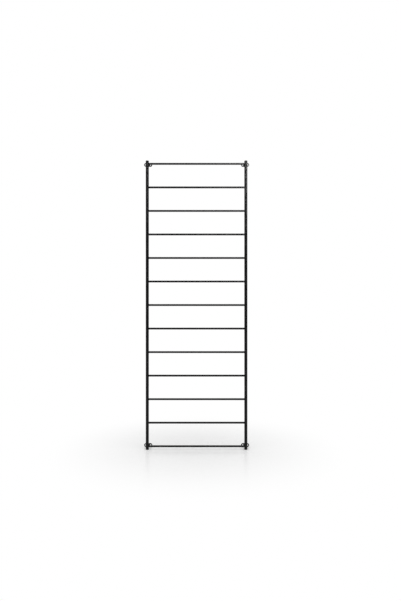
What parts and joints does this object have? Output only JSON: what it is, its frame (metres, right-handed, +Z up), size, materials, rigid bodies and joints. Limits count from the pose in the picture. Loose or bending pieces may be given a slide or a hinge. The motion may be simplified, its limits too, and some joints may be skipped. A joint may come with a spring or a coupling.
{
  "type": "espalier frame",
  "caption": "Ladder-shaped wall trellis of black round steel tube: upright stiles joined by evenly spaced rungs, with flanged stand-offs at the corners for screwing to a wall.",
  "frame": {"origin": "on the wall plane, at the centre of the wall screw patterns", "axes": "+Z up along the stiles, +Y towards the wall, +X to the right seen from the front"},
  "size_m": [0.554, 0.058, 1.4986],
  "materials": {
    "black_powder_coat": "satin black powder coat with a fine orange peel",
    "black_plastic": "matt moulded polyethylene"
  },
  "bodies": {
    "root": {"stile_left": "black_powder_coat", "stile_right": "black_powder_coat", "rung_01": "black_powder_coat", "rung_02": "black_powder_coat", "rung_03": "black_powder_coat", "rung_04": "black_powder_coat", "rung_05": "black_powder_coat", "rung_06": "black_powder_coat", "rung_07": "black_powder_coat", "rung_08": "black_powder_coat", "rung_09": "black_powder_coat", "rung_10": "black_powder_coat", "rung_11": "black_powder_coat", "rung_12": "black_powder_coat", "rung_13": "black_powder_coat", "standoff_post_top_left": "black_powder_coat", "standoff_post_top_right": "black_powder_coat", "standoff_post_bottom_left": "black_powder_coat", "standoff_post_bottom_right": "black_powder_coat", "wall_flange_top_left": "black_powder_coat", "wall_flange_top_right": "black_powder_coat", "wall_flange_bottom_left": "black_powder_coat", "wall_flange_bottom_right": "black_powder_coat", "rung_welds_left": "black_powder_coat", "rung_welds_right": "black_powder_coat", "post_welds": "black_powder_coat", "flange_welds": "black_powder_coat", "top_cap_left": "black_plastic", "top_cap_right": "black_plastic", "foot_cap_left": "black_plastic", "foot_cap_right": "black_plastic"}
  },
  "joints": []
}
